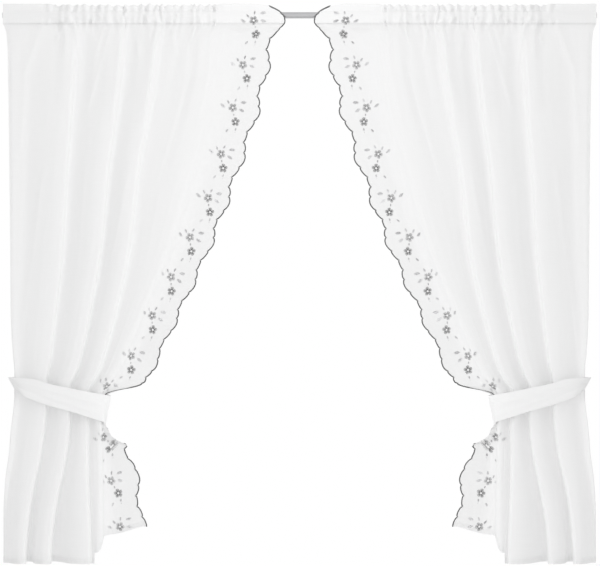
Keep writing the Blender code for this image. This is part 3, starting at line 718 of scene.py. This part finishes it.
def voile(name, open_share, grey, lets_through):
    """Plain weave: two sets of fine yarns with thick and thin places, and gaps that let light by."""
    material, start = new_material(name)
    place = start.node("ShaderNodeUVMap", {"uv_map": "cloth"})
    slub_down, slub_across = place.noise((900.0, 14.0, 1.0), 1.0), place.noise((14.0, 900.0, 1.0), 1.0)
    cloudy = place.noise((9.0, 6.0, 1.0), 3.0)
    bands = {"Vector": place, "Scale": YARN_SCALE, "Distortion": 0.0}
    warp, weft = ({"wave_type": "BANDS", "bands_direction": way} for way in "XY")
    weave = start.node("ShaderNodeTexWave", warp, bands, out=1) * 0.5
    weave = weave + start.node("ShaderNodeTexWave", weft, bands, out=1) * 0.5
    yarn = slub_down * 0.5 + slub_across * 0.5
    relief = {"Strength": 0.25, "Distance": 0.0002, "Height": yarn + weave * 0.5}
    bump = start.node("ShaderNodeBump", None, relief)
    colour = (yarn * 0.8 + cloudy * 0.2).between((grey - 0.03,) * 3, (min(grey + 0.03, 0.98),) * 3)
    cloth_side = {"Base Color": colour, "Roughness": 0.9, "Specular IOR Level": 0.15, "Normal": bump}
    face = start.node("ShaderNodeBsdfPrincipled", None, cloth_side)
    thin_side = {"Color": (grey, grey, grey, 1.0), "Normal": bump}
    through = start.node("ShaderNodeBsdfTranslucent", None, thin_side)
    yarns = start.node("ShaderNodeMixShader", None, {0: lets_through(place), 1: face, 2: through})
    gaps = open_share * (1.6 - yarn * 0.7 - weave * 0.5)
    holes = start.node("ShaderNodeBsdfTransparent")
    return finish_material(material, start.node("ShaderNodeMixShader", None, {0: gaps, 1: yarns, 2: holes}))


HUNG_THROUGH, HEADING_THROUGH = 0.42, 0.02


def thinner_below_heading(place):
    """How much light the yarns let through: less where the heading's layers are gathered together."""
    down = place.node("ShaderNodeSeparateXYZ", None, {0: place}, out=1) * -1000.0
    on_heading = place.math("LESS_THAN", down, 1000.0 * HEADING_DROP)
    return HUNG_THROUGH - on_heading * (HUNG_THROUGH - HEADING_THROUGH)


single_voile = voile("voile_single", open_share=0.08, grey=0.96, lets_through=thinner_below_heading)
SIDES = (("left", -1), ("right", 1))
panel_across, panel_down, panel_behind = panel_grid()
right_points = panel_points(panel_across, panel_down, panel_behind)
panel_uv = np.stack([panel_across, -panel_down], axis=-1)
for side_name, side in SIDES:
    mesh = grid_mesh(f"{side_name}_voile", right_points, panel_uv, side)
    panel = new_piece(f"{side_name}_voile", mesh, single_voile)
    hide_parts(f"{side_name}_panel")

# ---------------------------------------------------------------------------- satin-stitched edging
# The scalloped edge is bound by dense satin stitches of grey embroidery thread. They wrap over the
# cut edge from the front to the back, all the way from behind the pocket to the hem.


def thread_tree():
    """Geometry nodes that sweep a round section along every line of a mesh."""
    tree = bpy.data.node_groups.new("threads", "GeometryNodeTree")
    ports = (("Lines", "Geometry"), ("Thread diameter", "Float"), ("Sides", "Int"), ("Finish", "Material"))
    sockets = []
    for name, kind in ports:
        sockets.append(tree.interface.new_socket(name, in_out="INPUT", socket_type=f"NodeSocket{kind}"))
    tree.interface.new_socket("Threads", in_out="OUTPUT", socket_type="NodeSocketGeometry")
    start = Wire(tree)
    given = tree.nodes.new("NodeGroupInput")
    lines, diameter, sides, finish = (Wire(tree, given.outputs[k]) for k in range(4))
    curve = start.node("GeometryNodeMeshToCurve", None, {"Mesh": lines})
    section = {"Resolution": sides, "Radius": diameter * 0.5}
    profile = start.node("GeometryNodeCurvePrimitiveCircle", {"mode": "RADIUS"}, section)
    sweep = {"Curve": curve, "Profile Curve": profile, "Fill Caps": True}
    swept_threads = start.node("GeometryNodeCurveToMesh", None, sweep)
    rounded = start.node("GeometryNodeSetShadeSmooth", None, {"Geometry": swept_threads})
    real = start.node("GeometryNodeRealizeInstances", None, {"Geometry": rounded})
    done = start.node("GeometryNodeSetMaterial", None, {"Geometry": real, "Material": finish})
    output = tree.nodes.new("NodeGroupOutput")
    tree.links.new(done.socket, output.inputs[0])
    return tree, [socket.identifier for socket in sockets]


THREADS, THREAD_INPUTS = thread_tree()


def thread_piece(name, lines, greys, side, diameter, material, sides=3):
    """A piece of many threads: lines has one row of points for each thread, greys one tone for each."""
    count, points = lines.shape[:2]
    mesh = bpy.data.meshes.new(name)
    mesh.vertices.add(count * points)
    mesh.vertices.foreach_set("co", (lines * (side, 1, 1)).astype(np.float32).ravel())
    first = (np.arange(count)[:, None] * points + np.arange(points - 1)).ravel()
    mesh.edges.add(len(first))
    mesh.edges.foreach_set("vertices", np.stack([first, first + 1], axis=1).astype(np.int32).ravel())
    tones = mesh.attributes.new("grey", "FLOAT", "POINT")
    tones.data.foreach_set("value", np.repeat(greys, points).astype(np.float32))
    piece = new_piece(name, mesh, material)
    sweep = piece.modifiers.new("threads", "NODES")
    sweep.node_group = THREADS
    for identifier, value in zip(THREAD_INPUTS[1:], (diameter, sides, material)):
        sweep[identifier] = value
    piece.update_tag()
    whole = piece.evaluated_get(bpy.context.evaluated_depsgraph_get())
    made = bpy.data.meshes.new_from_object(whole)
    piece.modifiers.remove(sweep)
    piece.data = made
    made.name = name
    return piece


def embroidery_thread(name):
    """Lustrous rayon thread. Each thread's grey is stored on it, and it varies a little along it."""
    material, start = new_material(name)
    grey = start.node("ShaderNodeAttribute", {"attribute_name": "grey"}, out=2)
    uneven = start.node("ShaderNodeTexCoord", out="Object").noise((700.0, 700.0, 700.0), 1.0)
    tone = grey * (0.85 + uneven * 0.3)
    colour = start.node("ShaderNodeCombineColor", None, {0: tone, 1: tone, 2: tone * 1.01})
    look = {"Base Color": colour, "Roughness": 0.42, "Specular IOR Level": 0.5, "Sheen Weight": 0.3}
    return finish_material(material, start.node("ShaderNodeBsdfPrincipled", None, look))


EDGING_SPACING, EDGING_THREAD, EDGING_GREY = 0.0007, 0.0008, 0.14

# One thread from the front over the edge to the back, in millimetres: in from the edge, and lift
EDGING_FRONT = ((3.3, -0.05), (2.6, 0.34), (0.2, 0.40))
EDGING_SECTION = (*EDGING_FRONT, (-0.35, 0.0), *((inset, -lift) for inset, lift in reversed(EDGING_FRONT)))


def points_along(rows, lengths, places):
    """Rows of x, y and z, read at places along their line."""
    return np.stack([np.interp(places, lengths, rows[:, k]) for k in range(3)], axis=-1)


def edging_lines():
    """Threads across the scalloped edge, on the panel's own last column of points."""
    cut = panel_behind[:, -1] == 0.0
    across, down = panel_across[cut, -1], panel_down[cut, -1]
    corners, normals = cloth(across, down), cloth_frame(across, down)[2]
    lengths = np.concatenate([[0.0], np.cumsum(np.linalg.norm(np.diff(corners, axis=0), axis=1))])
    places = np.arange(0.0005, lengths[-1], EDGING_SPACING)
    edge, normal = (points_along(rows, lengths, places) for rows in (corners, normals))
    normal = unit(normal)
    tangent = unit(np.gradient(edge, axis=0))
    tangent = unit(np.stack([np.convolve(tangent[:, k], np.ones(5) / 5, "same") for k in range(3)], axis=1))
    inwards = np.cross(normal, tangent)
    chance = np.random.default_rng(5)
    reach = chance.uniform(0.92, 1.06, (len(places), 1))
    rows = [edge + inwards * inset * 0.001 * reach + normal * lift * 0.001 for inset, lift in EDGING_SECTION]
    return np.stack(rows, axis=1), EDGING_GREY * chance.uniform(0.9, 1.15, len(places))


rayon = embroidery_thread("grey_rayon")
edging, edging_greys = edging_lines()
sewn = {"left": [], "right": []}
for side_name, side in SIDES:
    piece = thread_piece(f"{side_name}_edging", edging, edging_greys, side, EDGING_THREAD, rayon)
    sewn[side_name].append(piece)

# ---------------------------------------------------------------------------------- embroidered sprigs
# Sprigs of two five-petalled flowers, leaves and buds are worked down the border in padded satin
# stitch, one sprig to each scallop repeat, in grey rayon.

PETALS, PETAL_THREADS = 5, 11
FLOWER_THREAD, LEAF_SPACING = 0.0006, 0.62

# How far in from the plain edge each sprig's upper flower lies, from the frill down to the hem
SPRIG_INSETS = (0.079, 0.072, 0.072, 0.062, 0.056, 0.066, 0.069, 0.072, 0.075, 0.065, 0.040, 0.078, 0.069)

# The chart of one sprig in millimetres: right is towards the leading edge and down is down it. Turn
# is the way that a leaf points, in degrees clockwise from the leading edge
Motif = namedtuple("Motif", "kind right down size turn grey")
SPRIG = (
    Motif("flower", 0, 0, 28, 10, 0.34),
    Motif("flower", 20, 39, 28, 40, 0.17),
    Motif("leaf", -32, 1, 18, 200, 0.74),
    Motif("leaf", -18, -14, 13, 225, 0.66),
    Motif("leaf", 3, -24, 12, 275, 0.72),
    Motif("leaf", 29, -23, 19, 340, 0.72),
    Motif("leaf", 29, 1, 18, 10, 0.80),
    Motif("leaf", 9, 20, 8, 60, 0.56),
    Motif("leaf", 27, 61, 9, 80, 0.64),
    Motif("leaf", 2, 72, 12, 110, 0.64),
    Motif("knot", 13, 28, 3, 0, 0.60),
    Motif("knot", 28, 70, 3, 0, 0.66),
)


def flower_stitches(motif):
    """Threads that fan out over each petal, in millimetres: right, down and lift."""
    stitches = []
    for petal in range(PETALS):
        for k in range(PETAL_THREADS):
            side_way = 2 * (k + 0.5) / PETAL_THREADS - 1
            angle = math.radians(motif.turn) + math.tau * (petal + 0.43 * side_way) / PETALS
            inner = motif.size * (0.11 + 0.03 * side_way**2)
            outer = motif.size * (0.29 + 0.21 * math.sqrt(1 - side_way**2))
            spots = ((inner, -0.1), (inner + 0.8, 0.5), (outer - 0.8, 0.5), (outer, -0.1))
            stitches.append([(r * math.cos(angle), r * math.sin(angle), lift) for r, lift in spots])
    return stitches


def leaf_stitches(motif):
    """Slanting threads over a pointed oval."""
    stitches = []
    turn = math.radians(motif.turn)
    count = round(motif.size / LEAF_SPACING)
    for k in range(count):
        along = 2 * (k + 0.5) / count - 1
        half = 0.24 * motif.size * (1 - abs(along) ** 2.2) + 0.2
        spots = ((-1.0, -0.1), (-0.5, 0.4), (0.5, 0.4), (1.0, -0.1))
        row = [(0.5 * motif.size * along + 0.35 * share * half, share * half, lift) for share, lift in spots]
        stitches.append([
            (x * math.cos(turn) - y * math.sin(turn), x * math.sin(turn) + y * math.cos(turn), lift)
            for x, y, lift in row
        ])
    return stitches


def knot_stitches(motif):
    """A knot: a few short threads laid over one another."""
    half = 0.5 * motif.size
    stitches = []
    for k, turn in enumerate((0.3, 1.4, 2.4)):
        x, y = math.cos(turn), math.sin(turn)
        spots = ((-half, -0.1), (-0.5 * half, 0.5 + 0.1 * k), (0.5 * half, 0.5 + 0.1 * k), (half, -0.1))
        stitches.append([(r * x, r * y, lift) for r, lift in spots])
    return stitches


def sprig_lines():
    """The threads of all sprigs, laid over the border, and their greys."""
    kinds = {"flower": flower_stitches, "leaf": leaf_stitches, "knot": knot_stitches}
    chance = np.random.default_rng(17)
    lines, greys = [], []
    for start_down, inset in zip(PATTERN_DOWNS, SPRIG_INSETS):
        for motif in SPRIG:
            stitches = np.array(kinds[motif.kind](motif)) + (motif.right, motif.down, 0.0)
            right, below, lift = (stitches[..., k].ravel() * 0.001 for k in range(3))
            at_edge = np.full_like(right, CLOTH_WIDTH), np.full_like(right, start_down)
            across, down = walk(*at_edge, np.full_like(right, -inset), 0 * right)
            across, down = walk(across, down, right, below)
            points = cloth(across, down) + cloth_frame(across, down)[2] * lift[:, None]
            fits = (down < HEM_DROP - 0.003).reshape(stitches.shape[:2]).all(axis=1)
            lines.append(points.reshape(stitches.shape)[fits])
            uneven = 0.45 if motif.kind == "flower" else 0.12
            paler = chance.uniform(0.9, 1.25)
            tones = motif.grey * paler * chance.uniform(1 - uneven, 1 + uneven, fits.sum())
            greys.append(np.minimum(tones, 0.9))
    return np.concatenate(lines), np.concatenate(greys)


sprigs, sprig_greys = sprig_lines()
for side_name, side in SIDES:
    piece = thread_piece(f"{side_name}_flowers", sprigs, sprig_greys, side, FLOWER_THREAD, rayon)
    sewn[side_name].append(piece)

# --------------------------------------------------------------------------------- stitching and hems
# White polyester sewing thread in lockstitch holds the frill, the rod pocket, the side hem and the
# foot hem. Each stitch shows on the front and on the back.

STITCH, STITCH_GAP, SEWING_THREAD = 0.0026, 0.0007, 0.0005

# How far behind the front the heading's stitches come out, through all its layers
HEADING_LAYERS = 0.0034
SEWING_GREY = 0.95


def seam_lines(across, down, front, back):
    """Stitches along a path on the cloth, standing this far before and behind it."""
    points, normals = cloth(across, down), cloth_frame(across, down)[2]
    lengths = np.concatenate([[0.0], np.cumsum(np.linalg.norm(np.diff(points, axis=0), axis=1))])
    starts = np.arange(STITCH, lengths[-1] - 2 * STITCH, STITCH + STITCH_GAP)[:, None]
    stitches = []
    for stand, shift in ((front, 0.0), (-back, 0.5 * STITCH)):
        spots = starts + shift + np.array([0.0, 0.5, 1.0]) * STITCH
        spot, normal = (points_along(rows, lengths, spots) for rows in (points, normals))
        sign = math.copysign(1.0, stand)
        lift = stand + sign * np.array([-0.0001, 0.0003, -0.0001])
        stitches.append(spot + unit(normal) * lift[:, None])
    return np.concatenate(stitches)


def sewing_lines():
    """The two stitch lines of the heading, then those of the foot hem and the side hem."""
    top_down, low_down = (np.interp(row, HEAD_ROWS, HEAD_DOWNS) for row in (TOP_STITCH, LOW_STITCH))
    foot_down = HEM_DROP - FOOT_HEM + 0.001
    heading, foot = (np.arange(0.002, CLOTH_WIDTH - end, 0.001) for end in (0.004, 0.003))
    side = np.arange(HEADING_DROP + 0.004, HEM_DROP - 0.002, 0.002)
    runs = [
        (heading, np.full_like(heading, top_down), 0.0, HEADING_LAYERS),
        (heading, np.full_like(heading, low_down), 0.0, HEADING_LAYERS),
        (foot, np.full_like(foot, foot_down), 0.0, 2.4 * HEM_GAP),
        (np.full_like(side, SIDE_HEM - 0.0015), side, 0.0, HEM_GAP),
    ]
    return np.concatenate([seam_lines(*run) for run in runs])


sewing = sewing_lines()
polyester = embroidery_thread("white_polyester")
for side_name, side in SIDES:
    greys = np.full(len(sewing), SEWING_GREY)
    piece = thread_piece(f"{side_name}_stitches", sewing, greys, side, SEWING_THREAD, polyester)
    sewn[side_name].append(piece)

# ------------------------------------------------------------------------------------------ tiebacks
# Each tieback is a strip of the same voile, folded double and seamed, that goes round the waist of the
# panel. Its outer end is drawn to a point and its inner end spreads where it turns round the folds.

# Upper and lower edges at each reach. The outer end slants, so its upper corner reaches further out
TieSection = namedtuple("TieSection", "reach top bottom")
TIE_SECTIONS = (
    TieSection(0.569, -1.160, -1.248),
    TieSection(0.627, -1.150, -1.229),
    TieSection(0.691, -1.137, -1.208),
    TieSection(0.767, -1.121, -1.187),
    TieSection(0.816, -1.107, -1.170),
    TieSection(0.889, -1.104, -1.143),
)
TIE_MIDDLE_Y, TIE_HALF_DEPTH, TIE_SQUARENESS = 0.001, 0.0440, 2.4
TIE_SLANT, TIE_INNER_SLANT = 0.022, 0.017
TIE_LOFT = 0.0010

# Flat size of the doubled strip, and the points round it and up it
TIE_LENGTH, TIE_WIDTH = 0.70, 0.08
TIE_AROUND, TIE_UP = 220, 20

# Creases of the tieback: from a turn and height to another, both as shares of the way round and up.
# The front of the band is from turn 0.5, its outer end, to 1.0
TieCrease = namedtuple("TieCrease", "turn height to_turn to_height width lift")
TIE_CREASES = (
    TieCrease(0.50, 0.90, 0.72, 0.55, 0.10, 0.0022),
    TieCrease(0.50, 0.45, 0.66, 0.85, 0.08, -0.0016),
    TieCrease(0.53, 0.15, 0.80, 0.35, 0.10, 0.0020),
    TieCrease(0.60, 0.60, 0.92, 0.75, 0.09, 0.0014),
    TieCrease(0.70, 0.20, 0.98, 0.50, 0.10, -0.0016),
    TieCrease(0.02, 0.70, 0.45, 0.50, 0.12, 0.0018),
    TieCrease(0.05, 0.30, 0.40, 0.25, 0.10, -0.0014),
)


def tie_middle(turn, height):
    """The middle of the doubled strip, by the shares of the way round and up."""
    reaches, tops, bottoms = (np.array(column) for column in zip(*TIE_SECTIONS))
    angle = math.tau * turn
    x, y = np.cos(angle), np.sin(angle)
    centre, half = (reaches[-1] + reaches[0]) / 2, (reaches[-1] - reaches[0]) / 2
    power = 2 / TIE_SQUARENESS
    toward_end = np.sign(x) * np.abs(x) ** power
    reach = centre + half * toward_end
    depth = TIE_MIDDLE_Y + TIE_HALF_DEPTH * np.sign(y) * np.abs(y) ** power
    top, bottom = smooth(reach, reaches, tops), smooth(reach, reaches, bottoms)
    slant = TIE_SLANT * (height - 1) * ease(toward_end, 0.6, 1.0)
    slant = slant + TIE_INNER_SLANT * (1.4 - height) * ease(-toward_end, 0.8, 1.0)
    return np.stack([reach + slant, depth, bottom + (top - bottom) * height], axis=-1)


def tie_points():
    """Rings round the band: out along the front, over the upper fold, and back along the inside."""
    turn = 0.25 + np.linspace(0, 1, TIE_AROUND, endpoint=False)[:, None]
    out = np.linspace(0, 1, TIE_UP)
    height = np.concatenate([out, out[::-1]])[None, :]
    facing = np.concatenate([np.ones(TIE_UP), -np.ones(TIE_UP)])[None, :]
    turn, height, facing = np.broadcast_arrays(turn, height, facing)
    step = 0.0005
    middle = tie_middle(turn, height)
    round_way = tie_middle(turn + step, height) - tie_middle(turn - step, height)
    up_way = tie_middle(turn, height + step) - tie_middle(turn, height - step)
    outwards = unit(np.cross(round_way, up_way))
    lift = np.zeros_like(height)
    around = np.mod(turn, 1.0)
    for crease in TIE_CREASES:
        along = (around - crease.turn) / (crease.to_turn - crease.turn)
        line = crease.height + (crease.to_height - crease.height) * along
        fade = ease(along, -0.05, 0.15) * (1 - ease(along, 0.85, 1.05))
        lift = lift + crease.lift * fade / np.cosh(1.7 * (height - line) / crease.width)
    loft = TIE_LOFT * np.sqrt(np.clip(1 - (2 * height - 1) ** 2, 0.0, 1)) * facing
    return middle + outwards * (lift + loft)[..., None], turn, height


def tie_mesh(name, side):
    """The closed band, turned to the other side of the pair if side is -1."""
    points, turn, height = tie_points()
    rings, around = points.shape[:2]
    verts = points.reshape(-1, 3) * (side, 1, 1)
    faces = []
    for ring in range(rings):
        start, end = ring * around, (ring + 1) % rings * around
        for k in range(around):
            following = (k + 1) % around
            faces.append([start + k, end + k, end + following, start + following])
    mesh = bpy.data.meshes.new(name)
    mesh.from_pydata(verts.tolist(), [], faces)
    uv = np.stack([TIE_LENGTH * turn, TIE_WIDTH * height], axis=-1).reshape(-1, 2)
    layer = mesh.uv_layers.new(name="cloth")
    corners = np.array(faces).ravel()
    layer.data.foreach_set("uv", uv[corners].astype(np.float32).ravel())
    shape = bmesh.new()
    shape.from_mesh(mesh)
    bmesh.ops.remove_doubles(shape, verts=shape.verts, dist=1e-5)
    bmesh.ops.recalc_face_normals(shape, faces=shape.faces)
    shape.to_mesh(mesh)
    shape.free()
    mesh.shade_smooth()
    mesh.set_sharp_from_angle(angle=math.radians(80))
    return mesh


double_voile = voile("voile_double", open_share=0.03, grey=0.96, lets_through=lambda place: 0.06)
for side_name, side in SIDES:
    tie = new_piece(f"{side_name}_tie", tie_mesh(f"{side_name}_tie", side), double_voile)
    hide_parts(f"{side_name}_tieback")

# ------------------------------------------------------------------------------- floor, light, camera
# The pair hangs in front of nothing but white, over a plain pale floor. Two soft strips stand well
# before it. Each lights the panel on the other side, so its folds are bright towards the middle.

FLOOR_RADIUS, FLOOR_LEVEL = 3.2, -2.6
floor_mesh = bpy.data.meshes.new("floor")
shape = bmesh.new()
bmesh.ops.create_circle(shape, cap_ends=True, segments=96, radius=FLOOR_RADIUS)
bmesh.ops.translate(shape, verts=shape.verts, vec=(0, 0, FLOOR_LEVEL))
shape.to_mesh(floor_mesh)
shape.free()
floor_material, start = new_material("pale_floor")
mottle = start.node("ShaderNodeTexCoord", out="Object").noise((3.0, 3.0, 3.0))
floor_look = {"Base Color": mottle.between((0.90,) * 3, (0.94,) * 3), "Roughness": 0.9}
finish_material(floor_material, start.node("ShaderNodeBsdfPrincipled", None, floor_look))
floor = bpy.data.objects.new("floor", floor_mesh)
floor_mesh.materials.append(floor_material)
bpy.context.scene.collection.objects.link(floor)

# The surround is seen as plain white, and lights the pair a little more from the room and from below
ROOM_WAY, SURROUND_GREYS = (0.0, -0.95, -0.30), ((0.0, 0.80), (0.5, 0.825), (1.0, 0.88))
world = bpy.data.worlds.new("white_surround")
bpy.context.scene.world = world
world.use_nodes = True
world.node_tree.nodes.clear()
start = Wire(world.node_tree)
way = start.node("ShaderNodeTexCoord", out="Generated")
from_room = start.node("ShaderNodeVectorMath", {"operation": "DOT_PRODUCT"}, {0: way, 1: ROOM_WAY}, out=1)
facing = from_room * 0.5 + 0.5
sky = start.node("ShaderNodeValToRGB", {"stops": SURROUND_GREYS}, {0: facing})
lit = start.node("ShaderNodeBackground", None, {"Color": sky, "Strength": 1.0})
seen = start.node("ShaderNodeBackground", None, {"Color": (1, 1, 1, 1), "Strength": 1.0})
is_seen = start.node("ShaderNodeLightPath", out="Is Camera Ray")
surround = start.node("ShaderNodeMixShader", None, {0: is_seen, 1: lit, 2: seen})
output = world.node_tree.nodes.new("ShaderNodeOutputWorld")
world.node_tree.links.new(surround.socket, output.inputs["Surface"])

LAMP_WIDTH, LAMP_HEIGHT, LAMP_SPREAD, LAMP_POWER = 0.50, 3.6, math.radians(40), 2.8
LAMP_REACH, LAMP_DISTANCE, LAMP_LEVEL, LAMP_AIM = 1.5, 1.9, -0.85, 0.62
for side_name, side in SIDES:
    strip_light = bpy.data.lights.new(f"{side_name}_strip", "AREA")
    strip_light.shape, strip_light.spread = "RECTANGLE", LAMP_SPREAD
    strip_light.size, strip_light.size_y, strip_light.energy = LAMP_WIDTH, LAMP_HEIGHT, LAMP_POWER
    strip = bpy.data.objects.new(f"{side_name}_strip", strip_light)
    strip.location = (-LAMP_REACH * side, -LAMP_DISTANCE, LAMP_LEVEL)
    to_panel = Vector((LAMP_AIM * side, 0.0, LAMP_LEVEL)) - strip.location
    strip.rotation_euler = to_panel.to_track_quat("-Z", "Y").to_euler()
    strip.visible_camera = False
    bpy.context.scene.collection.objects.link(strip)

CAMERA_DISTANCE, VIEW_WIDTH, VIEW_MIDDLE = 9.0, 1.830, -0.8165
camera_data = bpy.data.cameras.new("camera")
camera_data.sensor_width = 36.0
camera_data.lens = camera_data.sensor_width * CAMERA_DISTANCE / VIEW_WIDTH
camera = bpy.data.objects.new("camera", camera_data)
camera.location = (0.001, -CAMERA_DISTANCE, VIEW_MIDDLE)
camera.rotation_euler = (math.pi / 2, 0, 0)
bpy.context.scene.collection.objects.link(camera)
bpy.context.scene.camera = camera
bpy.context.scene.view_settings.view_transform = "Standard"
